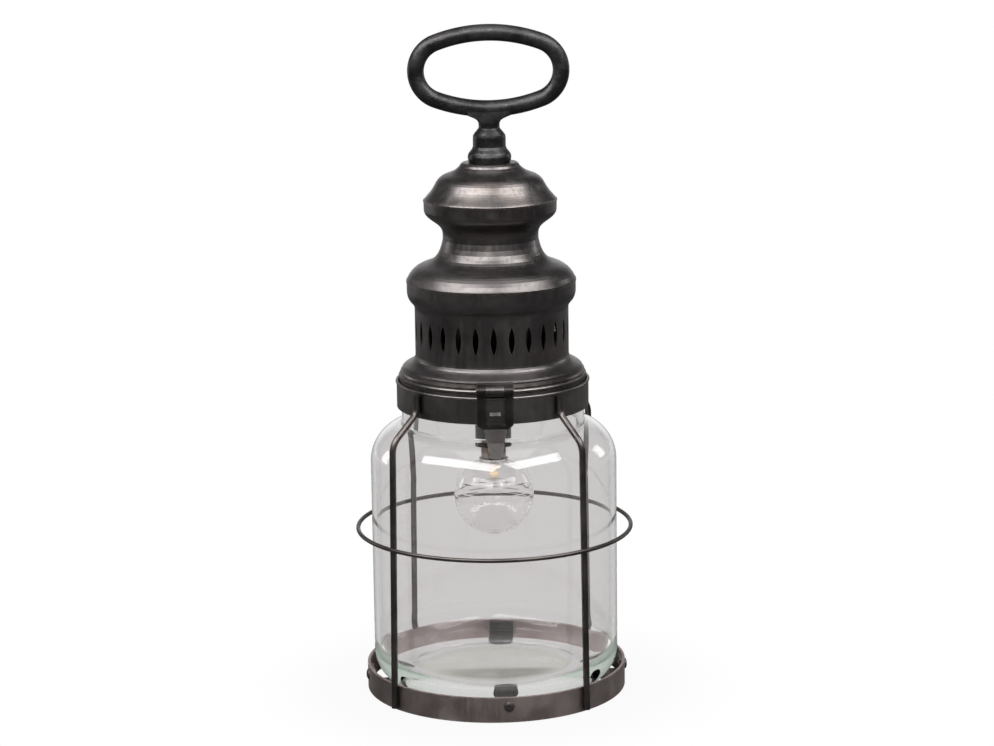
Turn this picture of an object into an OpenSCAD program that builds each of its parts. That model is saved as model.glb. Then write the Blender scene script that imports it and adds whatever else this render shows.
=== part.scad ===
// Lantern table lamp: a wire-caged glass jar, a hinged vented cap with an oval
// handle, and a battery lamp that hangs from a deck in the jar's neck.
// Millimetres, +Z up, origin on the ground at the centre of the base ring.
// The clasp faces -Y and the hinge faces +Y.

/* [Base] */
// Gap between the jar and the base ring's inner side
jar_gap = 2.9; // [2.2:0.1:6]
// Height of the base ring
base_h = 14.5; // [12:0.5:22]
// Thickness of the base ring's strip
base_t = 1.5; // [1:0.1:2.5]
// Width of each tab that carries the jar
tab_w = 15; // [8:0.5:20]
// Thickness of the tabs
tab_t = 1.6; // [1:0.1:2.5]
// Height of the tabs' underside above the ground
tab_z = 2.6; // [1.5:0.1:5]
// How far each tab reaches in from the ring
tab_reach = 23.5; // [16:0.5:30]
// Turn of the front and back tabs away from the clasp's plane, in degrees
tab_turn = 4; // [-8:0.5:8]
// Turn of the left tab towards the front, in degrees
left_tab_turn = 8; // [-4:0.5:12]
// Height of the tab rivets above the ground
tab_rivet_z = 9.4; // [8:0.1:11]
// Shank diameter of all rivets
rivet_d = 2.4; // [1.6:0.1:3]

/* [Cage] */
// Diameter of the four upright rods
rod_d = 3.7; // [2.5:0.1:5]
// Turn of the rods from the even 45 degree places, in degrees
rod_turn = -5; // [-8:0.5:8]
// How far the rods lean in between the base and their bend
rod_lean = 2.4; // [0:0.1:3]
// Height of the rods' upper bend below the top of the band
rod_bend_drop = 27.5; // [22:0.5:34]
// Bending radius at the rods' shoulder
rod_bend_r = 11; // [6:0.5:14]
// Bending radius where the rods meet the band
rod_foot_r = 6; // [4:0.5:9]
// Rise of the rods' slanting run over the jar's shoulder
rod_rise = 15.3; // [13:0.1:18]
// Wire diameter of the guard ring
guard_wire_d = 2.4; // [1.6:0.1:4]
// Height of the guard ring above the ground
guard_z = 95; // [60:1:120]
// Gap between the jar's neck and the band round it
band_gap = 1.5; // [1.1:0.1:4]
// Height of the band
band_h = 15.4; // [13:0.2:18]
// Thickness of the band
band_t = 1.2; // [0.8:0.1:1.4]
// Radius of the hem rolled on the band's top edge
hem_r = 0.9; // [0.6:0.1:1.2]

/* [Glass jar] */
// Outside diameter of the jar
jar_d = 141.2; // [132:0.2:142]
// Overall height of the jar
jar_h = 170.75; // [150:0.25:200]
// Wall thickness of the jar
jar_wall = 2.5; // [2:0.1:4]
// Thickness of the jar's floor
jar_floor = 5; // [3:0.25:8]
// Outside radius of the jar's heel
heel_r = 18; // [10:0.5:22]
// Radius of the jar's shoulder
shoulder_r = 23; // [18:0.5:24]
// Outside diameter of the jar's neck
neck_d = 104.4; // [103:0.2:104.6]
// Length of the straight neck
neck_h = 17; // [15:0.5:24]
// Thickness of the felt gasket on the jar's rim
gasket_t = 1.4; // [0.8:0.1:2.5]

/* [Cap] */
// Sheet thickness of the cap's shells
cap_t = 1; // [0.7:0.1:1.3]
// Outside diameter of the slotted drum
drum_d = 87.6; // [84:0.2:90]
// Height of the slotted drum above the cap's lower edge
drum_top = 45; // [43:0.5:50]
// Outside diameter of the rim above the drum
rim_d = 96.1; // [92:0.1:100]
// Height of the seam at that rim above the cap's lower edge
rim_top = 60.2; // [58:0.2:66]
// Outside diameter of the cap's narrow neck
waist_d = 54.3; // [48:0.1:60]
// Outside diameter of the upper rim
crown_d = 75.4; // [68:0.2:80]
// Height of the seam at the upper rim above the cap's lower edge
crown_top = 106.1; // [104:0.1:112]
// Height of the dome above that seam
dome_h = 21.9; // [20:0.1:26]
// Number of vent slots
slot_count = 27; // [18:1:30]
// Width of a vent slot
slot_w = 3.5; // [2:0.1:4.5]
// Height of a vent slot
slot_h = 15.8; // [10:0.1:17]
// Height of the slots' middle below the drum's top edge
slot_drop = 12; // [11:0.5:15]
// Turn of the slots from the clasp's direction, in degrees
slot_turn = 0; // [-6:0.5:6]

/* [Handle] */
// Half the width of the handle's oval, along the middle of its bar
oval_a = 40.8; // [36:0.1:46]
// Half the height of the handle's oval, along the middle of its bar
oval_b = 21.3; // [19:0.1:26]
// Bending radius at the oval's two ends
oval_end_r = 17; // [14:0.5:18]
// Diameter of the handle's bar
bar_d = 9.4; // [7:0.1:12]
// Height of the handle's foot and stem, up to the middle of the oval's bar
stem_h = 30; // [28:0.1:34]
// Diameter of the handle's foot
foot_d = 24.6; // [20:0.2:28]
// Diameter of the handle's threaded stud
stud_d = 8; // [6:0.5:10]

/* [Hinge and clasp] */
// Width of the hinge and of the clasp
strap_w = 20.2; // [16:0.1:24]
// Thickness of the clasp's strap
strap_t = 1.5; // [1:0.1:2]
// Diameter of the hinge barrels
barrel_d = 4.8; // [4:0.1:5.6]
// Diameter of the hinge pins
pin_d = 2; // [1.4:0.1:2.6]
// Height of the hinge pins above the band's top edge
pin_rise = 4.4; // [4.2:0.1:5]
// Width of the clasp's window
window_w = 11; // [8:0.1:13]
// Height of the window's lower edge below the hinge pin
window_drop = 20.4; // [19:0.1:22]
// Length of the tongue's upper run, from the fold to its knee
tongue_l = 8.5; // [6:0.5:9]
// Outward bend of the tongue's upper run, in degrees
tongue_bend = 45; // [40:1:60]
// Drop of the tongue's tip below the fold
tongue_drop = 14.2; // [12:0.1:16]
// Width of the latch nose
nose_w = 6; // [4:0.1:8]
// Height of the latch nose
nose_h = 4; // [3:0.1:5]
// Free height between the nose and the window's lower edge
nose_play = 3.6; // [3.4:0.1:4.5]
// Depth of the nose in the window
nose_hold = 1.1; // [0.8:0.1:1.2]

/* [Lamp] */
// Diameter of the bulb's globe
globe_d = 46; // [36:0.5:50]
// Length of the screw cap that shows below the lampholder
cap_show = 9.5; // [3:0.5:20]
// Outside diameter of the lampholder
holder_d = 20.6; // [19:0.2:24]
// Length of the lampholder below the deck
holder_l = 31.45; // [28:0.05:36]
// Diameter of the bulb's screw cap
screw_cap_d = 14.1; // [13.6:0.1:14.4]
// Thickness of the lamp deck
deck_t = 1.2; // [0.8:0.1:2]
// Outside diameter of the battery box
box_d = 45; // [44.4:0.2:49]
// Thickness of the battery box's floor
box_floor = 3.2; // [2.8:0.1:3.6]
// Diameter of a battery
cell_d = 14.2; // [13.8:0.1:14.4]
// Length of a battery
cell_l = 50.5; // [48:0.1:50.8]
// Travel of the slide switch
switch_travel = 4; // [2:0.1:4.4]
// Free turn of the battery cover to its unlocked place, in degrees
cover_turn = 30; // [24:1:36]

/* [Clearances] */
// Gap between stacked pieces that rest on each other
seat = 0.05; // [0.02:0.01:0.1]
// Gap between pieces that move past each other
run = 0.3; // [0.25:0.01:0.4]
// Gap between the cap's skirt and the band
skirt_gap = 0.5; // [0.4:0.05:0.8]
// Radial clearance of the hinge pins in their turning knuckles
pin_gap = 0.06; // [0.02:0.01:0.1]
// Gap between the tongue's tip and the jar's shoulder
tongue_gap = 0.8; // [0.6:0.1:3]

/* [Hidden] */
$fn = 64;

// Colours seen on the object
iron = [0.24, 0.22, 0.21];
dark_iron = [0.16, 0.15, 0.15];
base_iron = [0.33, 0.29, 0.28];
clear_glass = [0.86, 0.89, 0.88, 0.35];
brass = [0.72, 0.60, 0.36];
nickel = [0.70, 0.67, 0.62];
black_plastic = [0.08, 0.08, 0.08];

cut = 1;
bend_swell = 0.04;

// Heights, from the ground up
tab_top = tab_z + tab_t;
jar_z = tab_top + seat;
jar_rim_z = jar_z + jar_h;
gasket_z = jar_rim_z + seat;
deck_z = gasket_z + gasket_t + seat;
deck_top = deck_z + deck_t;
cap_z = deck_top + run;
band_over_rim = 7;
band_top = jar_rim_z + band_over_rim;
band_z = band_top - band_h;

// Radii of the jar, the base ring, the band and the cap's skirt
jar_r = jar_d / 2;
base_r = jar_r + jar_gap + base_t;
neck_r = neck_d / 2;
neck_in_r = neck_r - jar_wall;
neck_z = jar_rim_z - neck_h;
band_in_r = neck_r + band_gap;
band_r = band_in_r + band_t;
skirt_r = band_in_r - skirt_gap;
rivet_r = rivet_d / 2;
hole_gap = 0.1;

// Rods: where their middle line runs
rod_r = rod_d / 2;
rod_start_z = 1.5;
rod_bend_z = band_top - rod_bend_drop;
ring_share = (base_h - rod_start_z) / (rod_bend_z - rod_start_z);
rod_base_r = base_r + rod_r + seat + rod_lean * ring_share;
rod_bend_at_r = rod_base_r - rod_lean;
rod_foot_z = rod_bend_z + rod_rise;
rod_band_r = band_r + rod_r + seat;
rod_end_z = band_top - 2 * hem_r - 0.4;
guard_share = (guard_z - rod_start_z) / (rod_bend_z - rod_start_z);
guard_r = rod_base_r - rod_lean * guard_share + rod_r + guard_wire_d / 2 + seat;

// Hinge line, the same at the back as at the clasp
hem_out = 0.6;
hem_reach = band_r + hem_out;
strap_in = hem_reach + 0.4;
strap_out = strap_in + strap_t;
pin_y = strap_in + 2;
pin_z = band_top + pin_rise;
barrel_r = barrel_d / 2;
pin_r = pin_d / 2;
knuckle_x = 4.9;
knuckle_gap = run;
leaf_face = pin_y - barrel_r - 0.4;
nose_z = pin_z - window_drop + nose_play;
fold_z = pin_z - window_drop - 2;

// Cap heights
rim_z = cap_z + rim_top;
crown_z = cap_z + crown_top;
dome_z = crown_z + seat;
foot_z = dome_z + dome_h + seat;
oval_z = foot_z + stem_h + oval_b;
stud_r = stud_d / 2;
foot_r = foot_d / 2;

// Lamp
holder_r = holder_d / 2;
holder_z = deck_z - seat - holder_l;
holder_flange_r = 20.4;
holder_flange_t = 2;
holder_top = deck_z - seat;
holder_bore_r = 8.3;
holder_wall_z = holder_z + 18;
screw_circle_r = 17;
screw_r = 1.2;
screw_bite = 6;
cap_r = screw_cap_d / 2;
globe_r = globe_d / 2;
thread_pitch = 2.82;
thread_turns = 4;
thread_z = holder_z + 1.5;
tip_z = holder_wall_z - 1.4;
cap_flange_z = holder_z - cap_show;
globe_z = cap_flange_z - 0.6 - sqrt(pow(globe_r, 2) - pow(cap_r, 2));

// Battery box
box_r = box_d / 2;
box_z = deck_top + seat;
cell_r = cell_d / 2;
cell_bore_r = cell_r + 0.25;
cell_web = 0.8;
cell_ring_r = (cell_bore_r + cell_web / 2) / cos(30);
cell_z = box_z + box_floor + 2.3;
cell_top = cell_z + cell_l;
plate_t = 0.3;
spigot_z = cell_top + run + plate_t + seat;
spigot_h = 3.1;
box_top = spigot_z + spigot_h;
spigot_r = box_r - 3.6;
lug_r = box_r - 1.9;
lug_t = 1.4;
lug_a = 22;
cover_t = 2;
grip_l = 1.24 * box_r;
cover_z = box_top + run;
pocket_w = 12.4;
pocket_in = cell_ring_r / 2 + cell_bore_r + 1.2;
pocket_top = box_z + 19;
switch_z = box_z + 12.3;
switch_face = box_r - 1.2;
lead_r = 0.6;
board_y = pocket_in + 2 * lead_r + 0.6;
lead_x = 1.2;

// Points of a cubic curve from a to d, pulled towards b and c
function curve(a, b, c, d, n = 10) = [
    for (i = [0 : n])
        let (t = i / n, s = 1 - t)
        s * s * s * a + 3 * s * s * t * b + 3 * s * t * t * c + t * t * t * d
];

// Points of an arc round a centre, from one angle to another
function arc(centre, r, from, to, n = 10) = [
    for (i = [0 : n])
        let (angle = from + (to - from) * i / n)
        centre + r * [cos(angle), sin(angle)]
];

function reversed(path) = [for (i = [len(path) - 1 : -1 : 0]) path[i]];

function unit(v) = v / norm(v);

// The direction square to a path at one of its points, to the left of its run
function left_of(path, i) =
    let (
        before = path[max(i - 1, 0)],
        after = path[min(i + 1, len(path) - 1)],
        along = unit(after - before)
    )
    [-along.y, along.x];

// The same path moved over to its left by the sheet's thickness
function moved_over(path, t) = [for (i = [0 : len(path) - 1]) path[i] + t * left_of(path, i)];

// A sheet shell of revolution from its outside path, which runs upward
module shell(path, t) {
    rotate_extrude()
        polygon(concat(path, reversed(moved_over(path, t))));
}

// A bar between two points of the XZ plane
module bar_between(a, b, d) {
    translate([a.x, 0, a.y])
        rotate([0, atan2(b.x - a.x, b.y - a.y), 0])
            cylinder(h = norm(b - a), d = d);
}

// A quarter-round bend at a corner of a path in the XZ plane
module bend(before, corner, after, r, d) {
    u = unit(corner - before);
    v = unit(after - corner);
    turn = acos(u * v);
    side = sign(u.x * v.y - u.y * v.x);
    centre = corner + unit(v - u) * r / cos(turn / 2);
    start = corner - u * r * tan(turn / 2);
    from = atan2(start.y - centre.y, start.x - centre.x);
    first = side > 0 ? from : from - turn;
    translate([centre.x, 0, centre.y])
        rotate([90, 0, 0])
            rotate([0, 0, first])
                rotate_extrude(angle = turn)
                    translate([r, 0])
                        circle(d = d + bend_swell);
}

// How far a bend of radius r reaches back from its corner
function bend_reach(before, corner, after, r) =
    let (u = unit(corner - before), v = unit(after - corner))
    r * tan(acos(u * v) / 2);

// Round wire through four points of the XZ plane, with a bend at the middle two.
// The straight runs reach a little way into the bends, which are a hair thicker.
module wire_run(p, r1, r2, d) {
    t1 = bend_reach(p[0], p[1], p[2], r1) - 0.03 * r1;
    t2 = bend_reach(p[1], p[2], p[3], r2) - 0.03 * r2;
    bar_between(p[0], p[1] - unit(p[1] - p[0]) * t1, d);
    bend(p[0], p[1], p[2], r1, d);
    bar_between(p[1] + unit(p[2] - p[1]) * t1, p[2] - unit(p[2] - p[1]) * t2, d);
    bend(p[1], p[2], p[3], r2, d);
    bar_between(p[2] + unit(p[3] - p[2]) * t2, p[3], d);
}

// A rivet along +Y: a domed outer head at y_out and a flat inner head at y_in
module rivet(y_in, y_out, head_r, head_t, inner_t) {
    rotate([-90, 0, 0]) {
        translate([0, 0, y_in - inner_t])
            cylinder(h = y_out - y_in + inner_t + head_t / 2, r = rivet_r);
        translate([0, 0, y_in - inner_t])
            cylinder(h = inner_t, r = head_r * 0.8);
        translate([0, 0, y_out])
            cylinder(h = head_t / 2, r = head_r);
        translate([0, 0, y_out + head_t / 2])
            cylinder(h = head_t / 2, r1 = head_r, r2 = head_r * 0.55);
    }
}

// ---- Base ----

module tab_places() {
    for (angle = [tab_turn, 90, 180 - tab_turn, left_tab_turn - 90])
        rotate([0, 0, angle])
            children();
}

module base_ring() {
    color(base_iron)
        difference() {
            cylinder(h = base_h, r = base_r);
            translate([0, 0, -cut])
                cylinder(h = base_h + 2 * cut, r = base_r - base_t);
            tab_places()
                tab_bore();
        }
}

module tab_bore() {
    translate([0, -base_r / 2, tab_rivet_z])
        rotate([90, 0, 0])
            cylinder(h = base_r, r = rivet_r + hole_gap);
}

module glass_tabs() {
    leg_out = base_r - base_t - seat;
    tip = base_r - tab_reach;
    color(dark_iron)
        tab_places()
            difference() {
                union() {
                    intersection() {
                        translate([-tab_w / 2, -base_r, tab_z])
                            cube([tab_w, base_r - tip - tab_w / 2, base_h - tab_z - 1]);
                        difference() {
                            cylinder(h = base_h, r = leg_out);
                            translate([0, 0, tab_top])
                                cylinder(h = base_h, r = leg_out - tab_t);
                        }
                    }
                    translate([0, -tip - tab_w / 2, tab_z])
                        cylinder(h = tab_t, d = tab_w);
                }
                tab_bore();
            }
}

module tab_rivets() {
    leg_in = base_r - base_t - seat - tab_t;
    color(dark_iron)
        tab_places()
            rotate([0, 0, 180])
                translate([0, 0, tab_rivet_z])
                    rivet(leg_in - 0.35, base_r + seat, 1.25 * rivet_d, rivet_r, rivet_r / 2);
}

// ---- Cage ----

module rod(angle) {
    color(iron)
        rotate([0, 0, angle - 90])
            wire_run(
                [
                    [rod_base_r, rod_start_z],
                    [rod_bend_at_r, rod_bend_z],
                    [rod_band_r, rod_foot_z],
                    [rod_band_r, rod_end_z]
                ],
                rod_bend_r, rod_foot_r, rod_d
            );
}

module rod_front_left() { rod(-45 + rod_turn); }
module rod_front_right() { rod(45 + rod_turn); }
module rod_back_left() { rod(-135 + rod_turn); }
module rod_back_right() { rod(135 + rod_turn); }

module guard_ring() {
    color(iron)
        translate([0, 0, guard_z])
            rotate_extrude()
                translate([guard_r, 0])
                    circle(d = guard_wire_d);
}

module band_rivet_holes() {
    for (x = [-1, 1] * strap_w * 0.31)
        translate([x, band_r / 2, rivet_row_z])
            rotate([-90, 0, 0])
                cylinder(h = band_r, r = rivet_r + hole_gap);
    translate([0, -band_r / 2, nose_z + nose_h / 2])
        rotate([90, 0, 0])
            cylinder(h = band_r, r = rivet_r + hole_gap);
}

rivet_row_z = band_z + band_h * 0.48;

module cage_band() {
    color(iron)
        difference() {
            rotate_extrude()
                union() {
                    translate([band_in_r, band_z])
                        square([band_t, band_h - hem_r]);
                    intersection() {
                        translate([hem_reach - hem_r, band_top - hem_r])
                            circle(r = hem_r);
                        translate([band_in_r, band_top - 2 * hem_r])
                            square([band_t + hem_out, 2 * hem_r]);
                    }
                }
            band_rivet_holes();
        }
}

// ---- Glass jar ----

// The glass is drawn as a bottom, a straight side and a neck, which meet at level faces
heel_in_r = heel_r + 3;
side_z = jar_z + jar_floor + heel_in_r;
side_in_r = jar_r - jar_wall;

// The shoulder's arc stays within the step from the jar's side to its neck
shoulder_sweep = 75;
turn_r = min(shoulder_r, (jar_r - neck_r - 0.4) / (1 - cos(shoulder_sweep)));
shoulder_z = neck_z - rise_over(turn_r, neck_r) - turn_r * sin(shoulder_sweep);

// Where an arc of the shoulder ends, and how far the neck starts above that end
function arc_end(r) = [jar_r - turn_r + r * cos(shoulder_sweep), r * sin(shoulder_sweep)];

function rise_over(r, to_r) = 0.95 + 0.3 * (arc_end(r).x - to_r);

// Outside radius of the shoulder at a height above its arc's centre
function shoulder_at(z) = jar_r - turn_r + sqrt(max(0, pow(turn_r, 2) - pow(z - shoulder_z, 2)));

// The curve from an arc's end into the upright neck, without its first point
function neck_rise(r, to_r) =
    let (
        from = [arc_end(r).x, shoulder_z + arc_end(r).y],
        up = rise_over(r, to_r),
        pull = 0.45 * (from.x - to_r),
        path = curve(
            from, from + pull * [-sin(shoulder_sweep), cos(shoulder_sweep)],
            [to_r, from.y + 0.5 * up], [to_r, from.y + up], 5
        )
    )
    [for (i = [1 : 5]) path[i]];

module jar_bottom() {
    color(clear_glass)
        rotate_extrude()
            polygon(concat(
                [[0, jar_z]],
                arc([jar_r - heel_r, jar_z + heel_r], heel_r, -90, 0, 12),
                [[jar_r, side_z]],
                arc([side_in_r - heel_in_r, side_z], heel_in_r, 0, -90, 12),
                [[0, jar_z + jar_floor]]
            ));
}

module glass_jar() {
    color(clear_glass)
        translate([0, 0, side_z + seat])
            difference() {
                cylinder(h = shoulder_z - side_z - 2 * seat, r = jar_r);
                translate([0, 0, -cut])
                    cylinder(h = shoulder_z - side_z + 2 * cut, r = side_in_r);
            }
}

module jar_shoulder() {
    color(clear_glass)
        rotate_extrude()
            polygon(concat(
                arc([jar_r - turn_r, shoulder_z], turn_r, 0, shoulder_sweep, 12),
                neck_rise(turn_r, neck_r),
                [[neck_in_r, neck_z]],
                reversed(neck_rise(turn_r - jar_wall, neck_in_r)),
                arc([jar_r - turn_r, shoulder_z], turn_r - jar_wall, shoulder_sweep, 0, 12)
            ));
}

module jar_neck() {
    color(clear_glass)
        rotate_extrude()
            polygon([
                [neck_r, neck_z + seat], [neck_r, jar_rim_z - 0.8], [neck_r - 0.8, jar_rim_z],
                [neck_in_r + 0.6, jar_rim_z], [neck_in_r, jar_rim_z - 0.6], [neck_in_r, neck_z + seat]
            ]);
}

module jar_gasket() {
    color([0.20, 0.19, 0.18])
        translate([0, 0, gasket_z])
            difference() {
                cylinder(h = gasket_t, r = neck_r - 0.4);
                translate([0, 0, -cut])
                    cylinder(h = gasket_t + 2 * cut, r = neck_in_r + 0.4);
            }
}

// ---- Lamp deck and lampholder ----

module screw_places() {
    for (angle = [30, 150, 240, 300])
        rotate([0, 0, angle])
            translate([screw_circle_r, 0, 0])
                children();
}

module lamp_deck() {
    color(dark_iron)
        difference() {
            translate([0, 0, deck_z])
                cylinder(h = deck_t, r = neck_r + 0.5);
            translate([0, 0, deck_z - cut])
                cylinder(h = deck_t + 2 * cut, r = 3.4);
            translate([0, 0, deck_z - cut])
                screw_places()
                    cylinder(h = deck_t + 2 * cut, r = screw_r + 0.2);
        }
}

module deck_screws() {
    head_z = holder_top - holder_flange_t - seat;
    head_h = 1.33 * screw_r;
    color(nickel)
        screw_places()
            difference() {
                union() {
                    translate([0, 0, head_z - head_h])
                        cylinder(h = head_h, r1 = 1.6 * screw_r, r2 = 2.1 * screw_r);
                    translate([0, 0, head_z - 0.1])
                        cylinder(h = box_z + screw_bite - head_z, r = screw_r);
                }
                translate([-3 * screw_r, -0.3 * screw_r, head_z - head_h - cut])
                    cube([6 * screw_r, 0.6 * screw_r, cut + 0.45 * head_h]);
            }
}

module lampholder() {
    color(black_plastic)
        difference() {
            rotate_extrude()
                polygon([
                    [holder_bore_r, holder_z],
                    [holder_r - 0.5, holder_z],
                    [holder_r, holder_z + 0.5],
                    [holder_r, holder_top - holder_flange_t - 2],
                    [holder_r + 1.5, holder_top - holder_flange_t],
                    [holder_flange_r, holder_top - holder_flange_t],
                    [holder_flange_r, holder_top],
                    [3.2, holder_top],
                    [3.2, holder_wall_z],
                    [holder_bore_r, holder_wall_z]
                ]);
            translate([0, 0, holder_top - holder_flange_t - cut])
                screw_places()
                    cylinder(h = holder_flange_t + 2 * cut, r = screw_r + 0.2);
        }
}

// Rounded thread wave: the radius at each step of the thread's length
function thread_path(r_mid, z0) = [
    for (i = [0 : 6 * thread_turns])
        [r_mid + 0.25 * cos(60 * i), z0 + thread_pitch * i / 6]
];

module thread_insert() {
    color(brass)
        rotate_extrude()
            polygon(concat(
                [[holder_bore_r - seat, thread_z]],
                [[holder_bore_r - seat, thread_z + thread_pitch * thread_turns]],
                reversed(thread_path(cap_r + 0.2, thread_z))
            ));
}

module centre_contact() {
    color(brass)
        union() {
            translate([-7.4, -2, holder_wall_z - seat - 0.5])
                cube([14.8, 4, 0.5]);
            translate([-2, -2, tip_z + run])
                cube([4, 4, holder_wall_z - seat - tip_z - run]);
        }
}

// Two insulated leads, up through the holder and forward to the control board
module lamp_leads() {
    up_z = box_z + 1.25;
    color("ivory")
        for (x = [-1, 1] * lead_x)
            translate([x, 0, 0])
                rotate([0, 0, -90])
                    wire_run(
                        [
                            [0, holder_wall_z + seat],
                            [0, up_z],
                            [board_y - lead_r - 0.1, up_z],
                            [board_y - lead_r - 0.1, box_z + 10]
                        ],
                        1.2, 1.2, 2 * lead_r
                    );
}

// ---- Battery box ----

module cell_places() {
    for (angle = [90, 210, 330])
        rotate([0, 0, angle])
            translate([cell_ring_r, 0, 0])
                children();
}

// A ring sector used for the cover's lugs and their ways in
module sector(r_in, r_out, z0, h, middle, width) {
    translate([0, 0, z0])
        rotate([0, 0, middle - width / 2])
            rotate_extrude(angle = width)
                translate([r_in, 0])
                    square([r_out - r_in, h]);
}

module battery_box() {
    color(black_plastic)
        difference() {
            translate([0, 0, box_z])
                cylinder(h = box_top - box_z, r = box_r);
            translate([0, 0, box_z + box_floor])
                cell_places()
                    cylinder(h = box_top, r = cell_bore_r);
            translate([0, 0, cell_top])
                cylinder(h = box_top, r = spigot_r + run);
            translate([0, 0, spigot_z - run])
                cylinder(h = lug_t + 2 * run, r = lug_r + run);
            for (i = [0 : 2])
                sector(
                    spigot_r - 1, lug_r + run + 0.1, spigot_z + lug_t / 2,
                    spigot_h + cut, 30 + 120 * i + cover_turn, lug_a + 3
                );
            translate([-pocket_w / 2, -box_r - cut, box_z - cut])
                cube([pocket_w, box_r - pocket_in + cut, pocket_top - box_z + cut]);
            translate([-2.4, -pocket_in - cut, box_z - cut])
                cube([4.8, pocket_in + 3.4, 2.5 + cut]);
            translate([0, 0, box_z - cut])
                screw_places()
                    cylinder(h = screw_bite + 0.2 + cut, r = screw_r + seat);
        }
}

module contact_springs() {
    color(nickel)
        translate([0, 0, box_z + box_floor + seat])
            cell_places()
                difference() {
                    cylinder(h = 2.3 - 2 * seat, r1 = 4.6, r2 = 3);
                    translate([0, 0, -cut])
                        cylinder(h = 2.3 + 2 * cut, r = 2.2);
                }
}

module batteries() {
    color([0.30, 0.32, 0.34])
        translate([0, 0, cell_z])
            cell_places()
                union() {
                    cylinder(h = cell_l - 1.2, r = cell_r);
                    cylinder(h = cell_l, r = 2.7);
                }
}

module control_board() {
    color([0.10, 0.30, 0.18])
        translate([-pocket_w / 2 + 0.2, -board_y - 1, box_z + 6])
            cube([pocket_w - 0.4, 1, pocket_top - box_z - 6.3]);
}

module switch_body() {
    slot = switch_travel + 3 + 2 * run;
    color([0.13, 0.13, 0.13])
        difference() {
            intersection() {
                translate([-pocket_w / 2 + 0.2, -switch_face, box_z + 6])
                    cube([pocket_w - 0.4, switch_face - board_y - 1 - seat, pocket_top - box_z - 6.3]);
                cylinder(h = box_top, r = box_r - 0.1);
            }
            translate([-slot / 2, -switch_face - cut, switch_z - 1.75 - run])
                cube([slot, 3.6 + cut, 3.5 + 2 * run]);
        }
}

module switch_slider() {
    color([0.75, 0.75, 0.73])
        translate([-switch_travel / 2 - 1.5, -switch_face - 2.6, switch_z - 1.75])
            difference() {
                cube([3, 2.6 + 3.3, 3.5]);
                for (x = [0.75, 1.5, 2.25])
                    translate([x - 0.15, -cut, -cut])
                        cube([0.3, cut + 0.4, 3.5 + 2 * cut]);
            }
}

module battery_cover() {
    color([0.11, 0.11, 0.11])
        union() {
            translate([0, 0, spigot_z])
                cylinder(h = spigot_h + run + cut / 2, r = spigot_r);
            translate([0, 0, cover_z])
                cylinder(h = cover_t - 0.8, r = box_r);
            translate([0, 0, cover_z + cover_t - 0.8])
                cylinder(h = 0.8, r1 = box_r, r2 = box_r - 0.8);
            for (i = [0 : 2])
                sector(spigot_r - 1, lug_r, spigot_z, lug_t, 30 + 120 * i, lug_a);
            translate([-grip_l / 2, -1.5, cover_z + cover_t - 0.2])
                cube([grip_l, 3, 2.4]);
        }
}

module contact_plates() {
    color(brass)
        intersection() {
            translate([0, 0, spigot_z - seat - plate_t])
                cell_places()
                    cylinder(h = plate_t, r = 0.79 * cell_r);
            cylinder(h = box_top, r = spigot_r);
        }
}

// ---- Bulb ----

function globe_outside(r) = concat(
    arc([0, globe_z], r, -90, acos((cap_r + 1.3) / r), 24),
    [[cap_r + 0.4 + r - globe_r, cap_flange_z - 0.1], [cap_r - 0.65 + r - globe_r, cap_flange_z + 1.4]]
);

module bulb_glass() {
    wall = 0.6;
    inner = arc([0, globe_z], globe_r - wall, -90, acos((cap_r + 0.3) / (globe_r - wall)), 24);
    color([0.9, 0.9, 0.88, 0.3])
        rotate_extrude()
            polygon(concat(
                globe_outside(globe_r),
                [[cap_r - 0.65, cap_flange_z + 5], [cap_r - 1.25, cap_flange_z + 5]],
                [[cap_r - 1.25, cap_flange_z + 1.4], [cap_r - 0.8, cap_flange_z - 0.4]],
                reversed(inner)
            ));
}

module bulb_cap() {
    wall = 0.5;
    skirt_top = thread_z - 0.4;
    thread_end = thread_z + thread_pitch * 3.5;
    color(nickel)
        rotate_extrude()
            polygon(concat(
                [[cap_r + 0.75, cap_flange_z + 0.2], [cap_r + 1.25, cap_flange_z + 0.2]],
                [[cap_r + 1.25, cap_flange_z + 0.7], [cap_r, cap_flange_z + 1.3], [cap_r, skirt_top]],
                [for (p = thread_path(cap_r - 0.3, thread_z)) if (p.y <= thread_end) p],
                [[5, tip_z - 2.4], [5 - wall, tip_z - 2.4]],
                [[cap_r - 0.6 - wall, thread_end - 0.8], [cap_r - wall, skirt_top - 3]],
                [[cap_r - wall, cap_flange_z + 1.6]]
            ));
}

module bulb_insulator() {
    color([0.10, 0.10, 0.11])
        translate([0, 0, tip_z - 2.4 + seat])
            cylinder(h = 1.6, r1 = 4.9, r2 = 2.8);
}

module bulb_contact() {
    color(nickel)
        translate([0, 0, tip_z - 0.8 + 2 * seat])
            cylinder(h = 0.8 - 2 * seat, r1 = 2.4, r2 = 1.8);
}

led_tip_z = globe_z + 8;
led_r = 2.5;
led_base_z = led_tip_z + 10;

module led() {
    color([1.0, 0.93, 0.75, 0.8])
        union() {
            translate([0, 0, led_tip_z + led_r])
                sphere(r = led_r);
            translate([0, 0, led_tip_z + led_r])
                cylinder(h = led_base_z - led_tip_z - led_r, r = led_r);
            translate([0, 0, led_base_z])
                cylinder(h = 1, r = 2.9);
        }
}

module led_leads() {
    color(nickel)
        for (x = [-1.27, 1.27])
            translate([x, 0, led_base_z + 1 + seat])
                cylinder(h = tip_z - 2.4 - led_base_z - 1 - seat, r = 0.3);
}

// ---- Cap shells ----

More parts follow.
